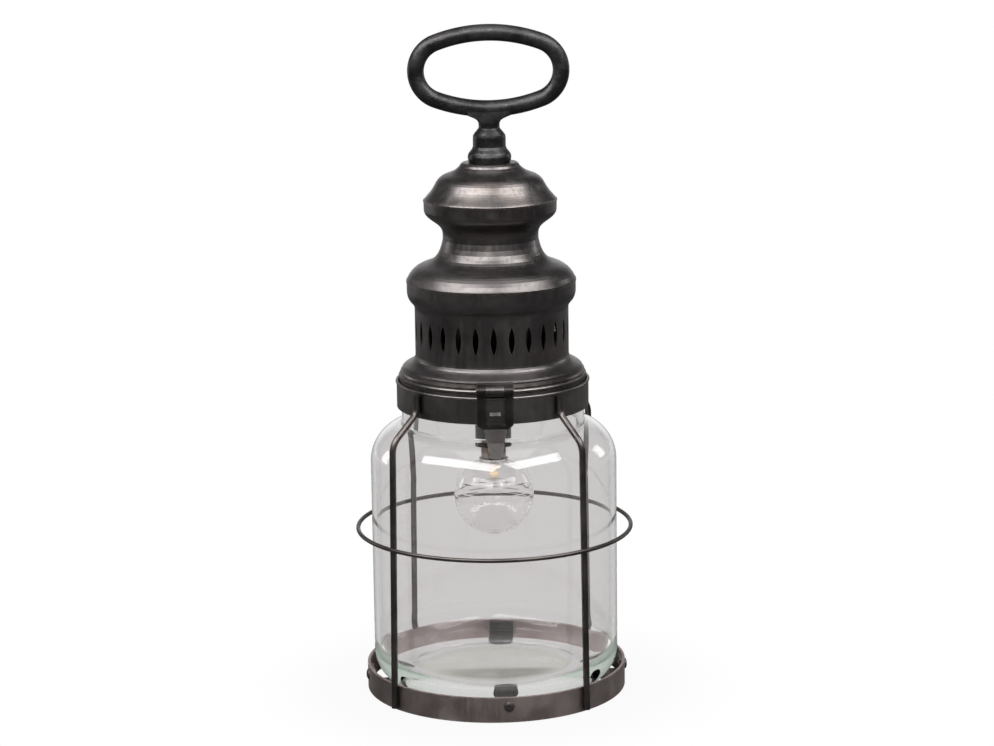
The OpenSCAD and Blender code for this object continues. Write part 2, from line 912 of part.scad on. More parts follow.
rel = [0, cap_z];
drum_r = drum_d / 2;
rim_r = rim_d / 2;
waist_r = waist_d / 2;
crown_r = crown_d / 2;
flare_start = [skirt_r - 2.6, 12];
drum_foot = 18.5;

function flare() = curve(
    flare_start, [skirt_r - 3.9, 13.2], [drum_r + 0.1, 14.2], [drum_r, drum_foot]
);

drum_head_h = rim_top - drum_top;

function drum_head() = concat(
    curve(
        [drum_r, drum_top], [drum_r, drum_top + 0.263 * drum_head_h],
        [rim_r - 0.2, drum_top + 0.23 * drum_head_h], [rim_r, drum_top + 0.658 * drum_head_h]
    ),
    [[rim_r, rim_top]]
);

// Outside of the skirt with its two rolled beads
function skirt_outside() = [
    [skirt_r, 0], [skirt_r, 5.2], [skirt_r + 0.4, 5.8], [skirt_r + 0.4, 6.8],
    [skirt_r, 7.4], [skirt_r - 0.8, 7.8], [skirt_r - 0.5, 8.6], [skirt_r - 0.8, 9.6],
    [skirt_r - 1.8, 10.2], [skirt_r - 1.8, 11.2]
];

function skirt_smooth() = [[skirt_r, 0], [skirt_r, 5.2], [skirt_r - 0.8, 8.6]];

function drum_outside() = concat(skirt_outside(), flare(), drum_head());

function drum_inside() =
    moved_over(concat(skirt_smooth(), flare(), drum_head()), cap_t);

module vent_slot() {
    side_r = (pow(slot_h / 2, 2) + pow(slot_w / 2, 2)) / slot_w;
    translate([0, -drum_r + cap_t + 3, cap_z + drum_top - slot_drop])
        rotate([90, 0, 0])
            linear_extrude(height = cap_t + 6)
                intersection() {
                    translate([side_r - slot_w / 2, 0])
                        circle(r = side_r);
                    translate([slot_w / 2 - side_r, 0])
                        circle(r = side_r);
                }
}

module vented_drum() {
    color(iron)
        difference() {
            translate([0, 0, cap_z])
                rotate_extrude()
                    polygon(concat(drum_outside(), reversed(drum_inside())));
            for (i = [0 : slot_count - 1])
                rotate([0, 0, slot_turn + 360 / slot_count * i])
                    vent_slot();
        }
}

// Height of the narrow neck, and the rises below and above it
waist_z = rim_top + 0.562 * (crown_top - rim_top);
low_h = waist_z - rim_top;
high_h = crown_top - 5.1 - waist_z;

function shoulder_outside() = concat(
    [[rim_r + 0.25, rim_top + seat], [rim_r + 0.25, rim_top + 1.1]],
    curve(
        [rim_r - 0.15, rim_top + 1.6], [rim_r - 6.5, rim_top + 0.596 * low_h],
        [waist_r + 3.7, rim_top + 0.186 * low_h], [waist_r, waist_z - 0.054 * low_h], 16
    ),
    curve(
        [waist_r, waist_z + 0.1 * high_h], [waist_r, waist_z + 0.567 * high_h],
        [crown_r - 0.9, waist_z + 0.633 * high_h], [crown_r - 0.1, waist_z + high_h], 12
    ),
    [[crown_r, crown_top]]
);

module cap_shoulder() {
    color(iron)
        translate([0, 0, cap_z])
            shell(shoulder_outside(), cap_t);
}

function dome_outside() = concat(
    [[crown_r + 0.25, 0], [crown_r + 0.25, 0.7]],
    curve(
        [crown_r - 0.4, 1], [crown_r - 0.45, 1.75], [crown_r - 4.3, 0.225 * dome_h],
        [crown_r - 6.4, 0.417 * dome_h], 8
    ),
    curve(
        [crown_r - 6.6, 0.436 * dome_h], [crown_r - 10.1, 0.758 * dome_h],
        [22.9, 0.641 * dome_h], [18, dome_h - 3], 12
    ),
    [[17.2, dome_h - 2.3], [16.6, dome_h - 1.2], [15.6, dome_h - 0.3], [14.4, dome_h]]
);

module cap_dome() {
    outside = dome_outside();
    inside = moved_over(outside, cap_t);
    color(iron)
        translate([0, 0, dome_z])
            rotate_extrude()
                polygon(concat(
                    outside,
                    [[stud_r + 0.3, dome_h], [stud_r + 0.3, dome_h - cap_t]],
                    [[14, dome_h - cap_t]],
                    [for (i = [len(inside) - 3 : -1 : 0]) inside[i]]
                ));
}

// ---- Handle ----

// The oval's long arcs have this radius, so that they run into its end arcs
oval_side_r = (pow(oval_a - oval_end_r, 2) + pow(oval_b, 2) - pow(oval_end_r, 2))
    / (2 * (oval_b - oval_end_r));
oval_split = atan2(oval_side_r - oval_b, oval_a - oval_end_r);

module oval_arc(centre, r, from, to, d) {
    translate([centre.x, 0, centre.y])
        rotate([90, 0, 0])
            rotate([0, 0, from])
                rotate_extrude(angle = to - from, $fn = 128)
                    translate([r, 0])
                        circle(d = d);
}

module handle_oval() {
    split = oval_split;
    into = 0.35;
    translate([0, 0, oval_z]) {
        oval_arc([oval_a - oval_end_r, 0], oval_end_r, -split, split, bar_d + bend_swell);
        oval_arc([oval_end_r - oval_a, 0], oval_end_r, 180 - split, 180 + split, bar_d + bend_swell);
        oval_arc([0, oval_b - oval_side_r], oval_side_r, split - into, 180 - split + into, bar_d);
        oval_arc([0, oval_side_r - oval_b], oval_side_r, 180 + split - into, 360 - split + into, bar_d);
    }
}

stem_top = stem_h - 7.6;

// Outside of the foot and stem: the foot's roll, then the collar in step with the height
function stem_outside() = concat(
    [
        [foot_r - 0.8, 0], [foot_r - 0.3, 1], [foot_r, 2.3], [foot_r, 3.5],
        [foot_r - 0.4, 4.7], [foot_r - 1.2, 5.9], [foot_r - 2.4, 7.3]
    ],
    [
        for (p = [
            [9.3, 0.393], [9.25, 0.634], [9, 0.683], [7.6, 0.768], [6.4, 0.83],
            [6, 0.857], [5.9, 0.911], [6.05, 1]
        ])
            [p.x, p.y * stem_top]
    ]
);

module handle() {
    color(dark_iron)
        union() {
            handle_oval();
            translate([0, 0, foot_z])
                rotate_extrude()
                    polygon(concat([[0, 0]], stem_outside(), [[0, stem_top]]));
            intersection() {
                translate([0, 0, foot_z])
                    rotate_extrude()
                        polygon([
                            [0, stem_top - 0.1], [6.04, stem_top - 0.1], [6.9, stem_h - 6.4],
                            [8.6, stem_h - 5.3], [12.5, stem_h - 3.6], [13, stem_h], [0, stem_h]
                        ]);
                translate([-20, -4.4, foot_z])
                    cube([40, 8.8, 40]);
            }
            translate([0, 0, foot_z - 15])
                cylinder(h = 15 + cut, r = stud_r);
        }
}

module handle_washer() {
    color(nickel)
        translate([0, 0, foot_z - seat - cap_t - seat - 1.5])
            difference() {
                cylinder(h = 1.5, r = 10);
                translate([0, 0, -cut])
                    cylinder(h = 1.5 + 2 * cut, r = stud_r + 0.3);
            }
}

module handle_nut() {
    nut_h = 6.5;
    color(nickel)
        translate([0, 0, foot_z - seat - cap_t - seat - 1.5 - seat - nut_h])
            difference() {
                cylinder(h = nut_h, r = stud_r * 1.88, $fn = 6);
                translate([0, 0, -cut])
                    cylinder(h = nut_h + 2 * cut, r = stud_r + seat);
            }
}

// ---- Hinge and clasp ----

// A barrel along X at the hinge line, from x0 to x1, bored for its pin
module barrel(x0, x1, bore_r) {
    translate([x0, -pin_y, pin_z])
        rotate([0, 90, 0])
            difference() {
                cylinder(h = x1 - x0, r = barrel_r);
                translate([0, 0, -cut])
                    cylinder(h = x1 - x0 + 2 * cut, r = bore_r);
            }
}

// The leaf fixed on the cap: its middle knuckle, a web and a base plate on the skirt
module cap_leaf() {
    difference() {
        union() {
            translate([-strap_w / 2, -leaf_face, band_top + 0.5])
                cube([strap_w, 12, 7.1]);
            translate([-knuckle_x, -pin_y, pin_z - 1.2])
                cube([2 * knuckle_x, 12, 2.4]);
            translate([-knuckle_x, -pin_y, pin_z])
                rotate([0, 90, 0])
                    cylinder(h = 2 * knuckle_x, r = barrel_r);
        }
        translate([-knuckle_x - cut, -pin_y, pin_z])
            rotate([0, 90, 0])
                cylinder(h = 2 * (knuckle_x + cut), r = pin_r + 0.02);
        translate([0, 0, cap_z])
            rotate_extrude($fn = 512)
                polygon(concat(
                    [[0, 0]],
                    [for (p = skirt_outside()) p + [seat, 0]],
                    [for (p = flare()) p + [seat, 0]],
                    [[drum_r + seat, drum_foot + 10], [0, drum_foot + 10]]
                ));
    }
}

// A pin with its peened ends
module hinge_bolt() {
    translate([-strap_w / 2 - 0.5, -pin_y, pin_z])
        rotate([0, 90, 0]) {
            cylinder(h = strap_w + 1, r = pin_r);
            cylinder(h = 0.45, r = pin_r + 0.5);
            translate([0, 0, strap_w + 0.55])
                cylinder(h = 0.45, r = pin_r + 0.5);
        }
}

module hinge_upper_leaf() {
    color(dark_iron)
        rotate([0, 0, 180])
            cap_leaf();
}

module hasp_leaf() {
    color(dark_iron)
        cap_leaf();
}

module hinge_pin() {
    color(dark_iron)
        rotate([0, 0, 180])
            hinge_bolt();
}

module hasp_pin() {
    color(dark_iron)
        hinge_bolt();
}

// The leaf on the band: a saddle plate and the two outer knuckles
module hinge_lower_leaf() {
    plate_z = band_z + 1.5;
    color(dark_iron)
        rotate([0, 0, 180])
            difference() {
                union() {
                    translate([-strap_w / 2, -strap_out, plate_z])
                        cube([strap_w, 8, band_top - 0.2 - plate_z]);
                    translate([-strap_w / 2, -strap_out, plate_z])
                        cube([strap_w, strap_t, pin_z - barrel_r - 0.6 - plate_z]);
                    for (side = [-1, 1])
                        translate([side * (strap_w / 2 + knuckle_x + knuckle_gap) / 2, 0, 0]) {
                            knuckle_w = strap_w / 2 - knuckle_x - knuckle_gap;
                            translate([-knuckle_w / 2, -strap_out, plate_z])
                                cube([knuckle_w, strap_t, pin_z - plate_z]);
                            translate([-knuckle_w / 2, -pin_y, pin_z])
                                rotate([0, 90, 0])
                                    cylinder(h = knuckle_w, r = barrel_r);
                        }
                }
                translate([-strap_w, -pin_y, pin_z])
                    rotate([0, 90, 0])
                        cylinder(h = 2 * strap_w, r = pin_r + pin_gap);
                cylinder(h = band_top, r = band_r + seat, $fn = 512);
                translate([0, 0, band_top - 2 * hem_r - 0.2])
                    cylinder(h = 20, r = hem_reach + seat, $fn = 512);
                for (x = [-1, 1] * strap_w * 0.31)
                    translate([x, -band_r / 2, rivet_row_z])
                        rotate([90, 0, 0])
                            cylinder(h = band_r, r = rivet_r + hole_gap);
            }
}

module hinge_rivets() {
    color(dark_iron)
        for (x = [-1, 1] * strap_w * 0.31)
            translate([x, 0, rivet_row_z])
                rivet(band_in_r - 0.8, strap_out + seat, 0.92 * rivet_d, rivet_r, 0.42 * rivet_r);
}

// The latch nose: a sloped catch riveted through the band
module latch_nose() {
    reach = strap_in + nose_hold;
    color(dark_iron)
        union() {
            difference() {
                translate([-nose_w / 2, 0, 0])
                    rotate([90, 0, 90])
                        linear_extrude(height = nose_w)
                            polygon([
                                [-band_r + 3, nose_z], [-reach, nose_z],
                                [-reach, nose_z + nose_h * 0.62],
                                [-reach + 1.3, nose_z + nose_h], [-band_r + 3, nose_z + nose_h]
                            ]);
                cylinder(h = band_top, r = band_r + seat, $fn = 512);
            }
            translate([0, -band_in_r + 0.6, nose_z + nose_h / 2])
                rotate([90, 0, 0])
                    cylinder(h = band_t + 1, r = rivet_r);
            translate([0, -band_in_r + 0.6, nose_z + nose_h / 2])
                rotate([90, 0, 0])
                    cylinder(h = 0.55, r = rivet_r + 0.7);
        }
}

// A tapered run of the tongue: it goes down and outward from a point of the YZ plane
module tongue_run(from, bend_out, path) {
    translate([0, from.x, from.y])
        rotate([-bend_out, 0, 0])
            translate([0, strap_t / 2, 0])
                rotate([90, 0, 0])
                    linear_extrude(height = strap_t)
                        polygon(concat(path, [for (i = [len(path) - 1 : -1 : 0]) [-path[i].x, path[i].y]]));
}

// The round of a bend across the tongue, bulged a little past the sheet's faces and edges
module tongue_bead(at, half) {
    translate([0, at.x, at.y])
        rotate([0, 90, 0])
            cylinder(h = 2 * half + 0.2, r = 0.56 * strap_t, center = true);
}

// The strap: two outer knuckles, side bars round the window and a tongue with a knee
module hasp_strap() {
    half = strap_w / 2;
    fold = 0.66 * half;
    knee = 0.48 * half;
    tip = 0.36 * half;
    fold_at = [-strap_in - strap_t / 2, fold_z];
    knee_at = fold_at - tongue_l * [sin(tongue_bend), cos(tongue_bend)];
    tip_at = [-shoulder_at(fold_z - tongue_drop) - tongue_gap - strap_t, fold_z - tongue_drop];
    tip_l = norm(tip_at - knee_at);
    tip_bend = atan2(knee_at.x - tip_at.x, knee_at.y - tip_at.y);
    knuckle_in = knuckle_x + knuckle_gap;
    window_z = pin_z - window_drop;
    color(iron)
        difference() {
            union() {
                for (side = [-1, 1])
                    translate([side * (half + knuckle_in) / 2, -pin_y, pin_z])
                        rotate([0, 90, 0])
                            cylinder(h = half - knuckle_in, r = barrel_r, center = true);
                translate([0, -strap_in, 0])
                    rotate([90, 0, 0])
                        linear_extrude(height = strap_t)
                            difference() {
                                polygon([
                                    [-half, pin_z], [-half, window_z + 0.6], [-fold, fold_z],
                                    [fold, fold_z], [half, window_z + 0.6], [half, pin_z]
                                ]);
                                translate([-window_w / 2, window_z])
                                    square([window_w, window_drop + cut]);
                            }
                tongue_bead(fold_at, fold);
                tongue_run(
                    fold_at, tongue_bend,
                    [[-fold, 0], [-0.88 * fold, -1.6], [-knee, -tongue_l]]
                );
                tongue_bead(knee_at, knee);
                tongue_run(
                    knee_at, tip_bend,
                    [[-knee, 0], [-tip, 1.4 - tip_l], [-0.8 * tip, 0.4 - tip_l], [-0.5 * tip, -tip_l]]
                );
            }
            translate([-strap_w, -pin_y, pin_z])
                rotate([0, 90, 0])
                    cylinder(h = 2 * strap_w, r = pin_r + pin_gap);
        }
}

base_ring();
glass_tabs();
tab_rivets();
rod_front_left();
rod_front_right();
rod_back_left();
rod_back_right();
guard_ring();
cage_band();
glass_jar();
jar_bottom();
jar_shoulder();
jar_neck();
jar_gasket();
lamp_deck();
deck_screws();
lampholder();
thread_insert();
centre_contact();
lamp_leads();
battery_box();
contact_springs();
batteries();
control_board();
switch_body();
switch_slider();
battery_cover();
contact_plates();
bulb_glass();
bulb_cap();
bulb_insulator();
bulb_contact();
led();
led_leads();
vented_drum();
cap_shoulder();
cap_dome();
handle();
handle_washer();
handle_nut();
hinge_lower_leaf();
hinge_rivets();
hinge_pin();
hinge_upper_leaf();
latch_nose();
hasp_leaf();
hasp_pin();
hasp_strap();
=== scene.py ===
import bpy
import math
from mathutils import Matrix, Vector


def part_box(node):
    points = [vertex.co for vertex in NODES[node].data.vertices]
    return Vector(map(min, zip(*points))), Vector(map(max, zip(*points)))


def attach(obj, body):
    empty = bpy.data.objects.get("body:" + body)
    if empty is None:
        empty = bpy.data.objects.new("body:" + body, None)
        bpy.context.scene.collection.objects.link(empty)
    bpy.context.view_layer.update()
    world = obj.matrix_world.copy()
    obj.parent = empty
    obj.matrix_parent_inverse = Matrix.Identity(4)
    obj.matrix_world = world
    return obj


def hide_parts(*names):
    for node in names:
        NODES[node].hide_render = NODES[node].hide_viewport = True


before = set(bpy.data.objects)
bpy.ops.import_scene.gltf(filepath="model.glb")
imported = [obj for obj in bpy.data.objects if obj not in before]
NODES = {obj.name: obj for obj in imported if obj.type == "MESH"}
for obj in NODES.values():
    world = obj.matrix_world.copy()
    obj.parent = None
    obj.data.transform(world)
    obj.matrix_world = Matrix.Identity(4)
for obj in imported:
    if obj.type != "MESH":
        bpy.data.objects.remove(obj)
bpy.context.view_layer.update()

MM = 0.001
scene = bpy.context.scene


# ---------------------------------------------------------------- helpers

def mix_colors(tree, factor, a, b):
    """A colour mix node: a where factor is 0 and b where it is 1."""
    node = tree.nodes.new("ShaderNodeMix")
    node.data_type = "RGBA"
    for socket, value in ((node.inputs["Factor"], factor), (node.inputs["A"], a), (node.inputs["B"], b)):
        feed(tree, socket, value)
    return node.outputs["Result"]


def feed(tree, socket, value):
    """Links a socket to an output, or sets it to a number or a colour."""
    if hasattr(value, "is_linked"):
        tree.links.new(value, socket)
    elif isinstance(value, (tuple, list)):
        missing = len(socket.default_value) - len(value)
        socket.default_value = tuple(value) + (1.0,) * missing
    else:
        socket.default_value = value


def pick(node, name):
    """The one enabled socket of that name."""
    for s in node.inputs:
        if s.name == name and s.enabled:
            return s
    raise KeyError(name)


def noise(tree, coord, scale, detail, rough, distortion=0.0):
    node = tree.nodes.new("ShaderNodeTexNoise")
    tree.links.new(coord, node.inputs["Vector"])
    node.inputs["Scale"].default_value = scale
    node.inputs["Detail"].default_value = detail
    node.inputs["Roughness"].default_value = rough
    node.inputs["Distortion"].default_value = distortion
    return node.outputs[0]


def ramp(tree, value, low, high, to_low=0.0, to_high=1.0):
    """A smooth step from to_low at low to to_high at high."""
    node = tree.nodes.new("ShaderNodeMapRange")
    node.interpolation_type = "SMOOTHSTEP"
    tree.links.new(value, node.inputs["Value"])
    for name, v in (("From Min", low), ("From Max", high), ("To Min", to_low), ("To Max", to_high)):
        pick(node, name).default_value = v
    return node.outputs["Result"]


def math_node(tree, op, a, b=0.0):
    node = tree.nodes.new("ShaderNodeMath")
    node.operation = op
    feed(tree, node.inputs[0], a)
    feed(tree, node.inputs[1], b)
    return node.outputs[0]


def stretched(tree, coord, scale):
    node = tree.nodes.new("ShaderNodeMapping")
    tree.links.new(coord, node.inputs["Vector"])
    node.inputs["Scale"].default_value = scale
    return node.outputs["Vector"]


def new_material(name):
    mat = bpy.data.materials.new(name)
    mat.use_nodes = True
    tree = mat.node_tree
    shader = tree.nodes.get("Principled BSDF")
    coord = tree.nodes.new("ShaderNodeTexCoord").outputs["Object"]
    return mat, tree, shader, coord


def add_bump(tree, shader, heights, strength=0.3, distance=0.0004):
    """Chains bump nodes, one for each (height, share of the strength)."""
    last = None
    for height, share in heights:
        node = tree.nodes.new("ShaderNodeBump")
        node.inputs["Strength"].default_value = strength * share
        node.inputs["Distance"].default_value = distance
        tree.links.new(height, node.inputs["Height"])
        if last is not None:
            tree.links.new(last, node.inputs["Normal"])
        last = node.outputs["Normal"]
    tree.links.new(last, shader.inputs["Normal"])


def edge_mask(tree, radius=0.0012):
    """Near 1 on sharp outward edges: the bevelled normal departs from the true one."""
    bevel = tree.nodes.new("ShaderNodeBevel")
    bevel.samples = 4
    bevel.inputs["Radius"].default_value = radius
    geo = tree.nodes.new("ShaderNodeNewGeometry")
    dot = tree.nodes.new("ShaderNodeVectorMath")
    dot.operation = "DOT_PRODUCT"
    tree.links.new(bevel.outputs["Normal"], dot.inputs[0])
    tree.links.new(geo.outputs["Normal"], dot.inputs[1])
    return ramp(tree, dot.outputs["Value"], 0.995, 0.90)


# ---------------------------------------------------------------- materials

def aged_iron(name, dark, mid, brown, rough, brown_amount=0.5, wear=0.5, grain=1.0):
    """Painted sheet iron: mottled dark paint, brown rubbed patches, fine scratches and worn edges."""
    mat, tree, shader, coord = new_material(name)
    cloud = noise(tree, coord, 38.0, 5.0, 0.6, 0.4)
    fine = noise(tree, coord, 420.0, 4.0, 0.6)
    speck = noise(tree, coord, 1500.0, 2.0, 0.5)
    streak = noise(tree, stretched(tree, coord, (1.0, 1.0, 0.08)), 520.0, 3.0, 0.6)
    patch = noise(tree, coord, 17.0, 6.0, 0.62, 0.8)
    base = mix_colors(tree, ramp(tree, cloud, 0.36, 0.68), dark, mid)
    rubbed = math_node(tree, "MULTIPLY", ramp(tree, patch, 0.50, 0.72), brown_amount)
    base = mix_colors(tree, rubbed, base, brown)
    dust = math_node(tree, "MULTIPLY", ramp(tree, fine, 0.60, 0.80), 0.22)
    base = mix_colors(tree, dust, base, tuple(c * 1.4 for c in brown))
    edge = math_node(tree, "MULTIPLY", edge_mask(tree), ramp(tree, fine, 0.38, 0.62, 0.2, 1.0))
    base = mix_colors(tree, math_node(tree, "MULTIPLY", edge, wear), base, tuple(c * 1.8 for c in brown))
    tree.links.new(base, shader.inputs["Base Color"])
    shader.inputs["Metallic"].default_value = 1.0
    roughness = ramp(tree, cloud, 0.3, 0.7, rough[0], rough[1])
    roughness = math_node(tree, "ADD", roughness, ramp(tree, streak, 0.35, 0.75, -0.05, 0.07))
    tree.links.new(roughness, shader.inputs["Roughness"])
    heights = [(cloud, 0.7 * grain), (fine, 0.10 * grain), (speck, 0.02 * grain)]
    add_bump(tree, shader, heights, 0.22, 0.0005)
    return mat


def cast_iron(name, dark, mid):
    """Cast and painted: lumpy skin with pits and soft rubbed high spots."""
    mat, tree, shader, coord = new_material(name)
    lumps = noise(tree, coord, 95.0, 4.0, 0.55)
    pits = noise(tree, coord, 330.0, 3.0, 0.5)
    fine = noise(tree, coord, 1100.0, 2.0, 0.5)
    base = mix_colors(tree, ramp(tree, lumps, 0.38, 0.66), dark, mid)
    base = mix_colors(tree, math_node(tree, "MULTIPLY", ramp(tree, pits, 0.58, 0.74), 0.35), base,
                      tuple(c * 2.2 for c in mid))
    tree.links.new(base, shader.inputs["Base Color"])
    shader.inputs["Metallic"].default_value = 0.9
    tree.links.new(ramp(tree, lumps, 0.3, 0.7, 0.34, 0.50), shader.inputs["Roughness"])
    add_bump(tree, shader, [(lumps, 1.0), (pits, 0.7), (fine, 0.25)], 0.4, 0.0007)
    return mat


GLASS_IOR = 1.45
# A ray that has met this many surfaces goes straight on, so that none is trapped in a thick edge.
BENDS_KEPT = 5.5


def clear_glass(name, colour, density, tint, seed_bump=0.03):
    """Clear glass with a smoky tint, a faint body colour, slight waviness and smears."""
    mat, tree, shader, coord = new_material(name)
    shader.inputs["Base Color"].default_value = tuple(tint) + (1.0,)
    shader.inputs["Transmission Weight"].default_value = 1.0
    shader.inputs["IOR"].default_value = GLASS_IOR
    wave = noise(tree, stretched(tree, coord, (1.0, 1.0, 0.35)), 26.0, 2.0, 0.4)
    smear = noise(tree, coord, 70.0, 4.0, 0.6)
    tree.links.new(ramp(tree, smear, 0.45, 0.8, 0.0, 0.028), shader.inputs["Roughness"])
    add_bump(tree, shader, [(wave, 1.0)], seed_bump, 0.002)
    volume = tree.nodes.new("ShaderNodeVolumeAbsorption")
    volume.inputs["Color"].default_value = tuple(colour) + (1.0,)
    volume.inputs["Density"].default_value = density
    out = next(n for n in tree.nodes if n.type == "OUTPUT_MATERIAL")
    tree.links.new(volume.outputs["Volume"], out.inputs["Volume"])
    path = tree.nodes.new("ShaderNodeLightPath")
    clear = tree.nodes.new("ShaderNodeBsdfTransparent")
    clear.inputs["Color"].default_value = tuple(math.sqrt(c) for c in tint) + (1.0,)
    blend = tree.nodes.new("ShaderNodeMixShader")
    late = math_node(tree, "GREATER_THAN", path.outputs["Ray Depth"], BENDS_KEPT)
    tree.links.new(late, blend.inputs[0])
    tree.links.new(shader.outputs[0], blend.inputs[1])
    tree.links.new(clear.outputs[0], blend.inputs[2])
    tree.links.new(blend.outputs[0], out.inputs["Surface"])
    return mat


def green_floor(mat, tint, floor_z):
    """The thick glass floor's greener body colour, with a painted shade: a darker, mottled patch in the
    front of the disc.
    """
    # The second ellipse's place and half sizes, and the darker green, belong to the painted shade.
    disc_r, shade_y, shade_half_w, shade_half_d, skin = 0.046, -0.018, 0.040, 0.024, 0.0008
    green, shade_green = (0.66, 0.67, 0.57), (0.10, 0.108, 0.078)
    tree = mat.node_tree
    shader = next(n for n in tree.nodes if n.type == "BSDF_PRINCIPLED")
    coord = tree.nodes.new("ShaderNodeTexCoord").outputs["Object"]
    split = tree.nodes.new("ShaderNodeSeparateXYZ")
    tree.links.new(coord, split.inputs[0])
    x, y, z = (split.outputs[axis] for axis in "XYZ")
    low = ramp(tree, z, floor_z + skin, floor_z + skin / 8)

    def squared(value, centre, half):
        share = math_node(tree, "DIVIDE", math_node(tree, "SUBTRACT", value, centre), half)
        return math_node(tree, "POWER", share, 2.0)

    def disc(cy, half_w, half_d, edge):
        """1 on an ellipse of the bottom face, falling to 0 between its edge share and its rim."""
        away = math_node(tree, "ADD", squared(x, 0.0, half_w), squared(y, cy, half_d))
        return math_node(tree, "MULTIPLY", low, ramp(tree, away, 1.0, edge))

    cloud = noise(tree, coord, 45.0, 3.0, 0.5)
    colour = mix_colors(tree, disc(0.0, disc_r, disc_r, 0.86), tint, green)
    mottled = ramp(tree, cloud, 0.3, 0.7, 0.7, 1.0)
    # Painted shade: a dark green patch on the front of the floor, mottled by the cloud.
    painted_shade = math_node(tree, "MULTIPLY", disc(shade_y, shade_half_w, shade_half_d, 0.25), mottled)
    tree.links.new(mix_colors(tree, painted_shade, colour, shade_green), shader.inputs["Base Color"])


def plastic(name, colour, rough, grain_scale=900.0, bump=0.12):
    mat, tree, shader, coord = new_material(name)
    cloud = noise(tree, coord, 60.0, 3.0, 0.5)
    grain = noise(tree, coord, grain_scale, 2.0, 0.5)
    base = mix_colors(tree, ramp(tree, cloud, 0.35, 0.7), tuple(c * 0.85 for c in colour),
                      tuple(min(1.0, c * 1.15 + 0.002) for c in colour))
    tree.links.new(base, shader.inputs["Base Color"])
    tree.links.new(ramp(tree, cloud, 0.3, 0.7, rough - 0.05, rough + 0.06), shader.inputs["Roughness"])
    add_bump(tree, shader, [(grain, 1.0)], bump, 0.0002)
    return mat


def bare_metal(name, colour, dark, rough, brushed=(1.0, 1.0, 0.1), tarnish=0.5):
    mat, tree, shader, coord = new_material(name)
    cloud = noise(tree, coord, 120.0, 5.0, 0.6)
    lines = noise(tree, stretched(tree, coord, brushed), 900.0, 3.0, 0.6)
    dulled = math_node(tree, "MULTIPLY", ramp(tree, cloud, 0.42, 0.7), tarnish)
    base = mix_colors(tree, dulled, colour, dark)
    tree.links.new(base, shader.inputs["Base Color"])
    shader.inputs["Metallic"].default_value = 1.0
    tree.links.new(ramp(tree, cloud, 0.3, 0.7, rough, rough + 0.16), shader.inputs["Roughness"])
    add_bump(tree, shader, [(lines, 1.0), (cloud, 0.5)], 0.15, 0.0002)
    return mat


def felt(name, colour):
    mat, tree, shader, coord = new_material(name)
    fibre = noise(tree, stretched(tree, coord, (1.0, 1.0, 0.4)), 2600.0, 3.0, 0.7, 1.5)
    base = mix_colors(tree, ramp(tree, fibre, 0.35, 0.7), tuple(c * 0.6 for c in colour),
                      tuple(c * 1.5 for c in colour))
    tree.links.new(base, shader.inputs["Base Color"])
    shader.inputs["Roughness"].default_value = 0.95
    shader.inputs["Sheen Weight"].default_value = 0.3
    add_bump(tree, shader, [(fibre, 1.0)], 0.6, 0.0004)
    return mat


def light_lens(name):
    """The small light's clear resin body with a warm glowing core."""
    mat, tree, shader, coord = new_material(name)
    cloud = noise(tree, coord, 700.0, 2.0, 0.5)
    base = mix_colors(tree, ramp(tree, cloud, 0.3, 0.7), (0.98, 0.90, 0.74), (1.0, 0.95, 0.84))
    tree.links.new(base, shader.inputs["Base Color"])
    shader.inputs["Roughness"].default_value = 0.12
    shader.inputs["Transmission Weight"].default_value = 0.85
    spot = tree.nodes.new("ShaderNodeVectorMath")
    spot.operation = "DISTANCE"
    tree.links.new(coord, spot.inputs[0])
    low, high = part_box("led")
    spot.inputs[1].default_value = (0.0, 0.0, low[2] + 0.0045)
    glow = ramp(tree, spot.outputs["Value"], 0.0032, 0.0006)
    colour = mix_colors(tree, glow, (1.0, 0.62, 0.22), (1.0, 0.90, 0.62))
    tree.links.new(colour, shader.inputs["Emission Color"])
    tree.links.new(math_node(tree, "MULTIPLY", glow, 2.2), shader.inputs["Emission Strength"])
    return mat


IRON = aged_iron("iron_paint", (0.120, 0.111, 0.109), (0.165, 0.153, 0.150), (0.225, 0.190, 0.172),
                 (0.33, 0.43), grain=0.30)
BAND = aged_iron("band_iron_paint", (0.160, 0.148, 0.145), (0.220, 0.203, 0.198), (0.280, 0.240, 0.220),
                 (0.32, 0.42), grain=0.30)
DARK = aged_iron("dark_iron_paint", (0.110, 0.103, 0.101), (0.170, 0.158, 0.154), (0.240, 0.205, 0.187),
                 (0.34, 0.50), 0.4, 0.4)
BASE = aged_iron("base_iron_paint", (0.360, 0.298, 0.286), (0.480, 0.410, 0.394), (0.520, 0.420, 0.390),
                 (0.38, 0.56), 0.6, 0.6)
# Painted shade: the hasp strap's iron paint is much darker than the same paint elsewhere, which dims its
# reflections.
SHADED_STRAP = aged_iron("strap_painted_shade", (0.045, 0.041, 0.040), (0.075, 0.069, 0.066), (0.120, 0.098, 0.086),
                  (0.42, 0.56), 0.4, 0.3)
ROD = aged_iron("rod_iron_paint", (0.095, 0.087, 0.083), (0.150, 0.134, 0.128), (0.210, 0.172, 0.155),
                (0.32, 0.48), 0.5, 0.3)
CAST = cast_iron("cast_handle", (0.046, 0.044, 0.044), (0.076, 0.073, 0.074))
JAR_TINT = (0.80, 0.78, 0.785)
JAR = clear_glass("jar_glass", (0.74, 0.82, 0.76), 26.0, JAR_TINT)
green_floor(JAR, JAR_TINT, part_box("jar_bottom")[0][2])
BULB = clear_glass("bulb_clear", (0.97, 0.97, 0.95), 4.0, (0.97, 0.97, 0.965), 0.02)
FELT = felt("felt_pad", (0.04, 0.04, 0.042))
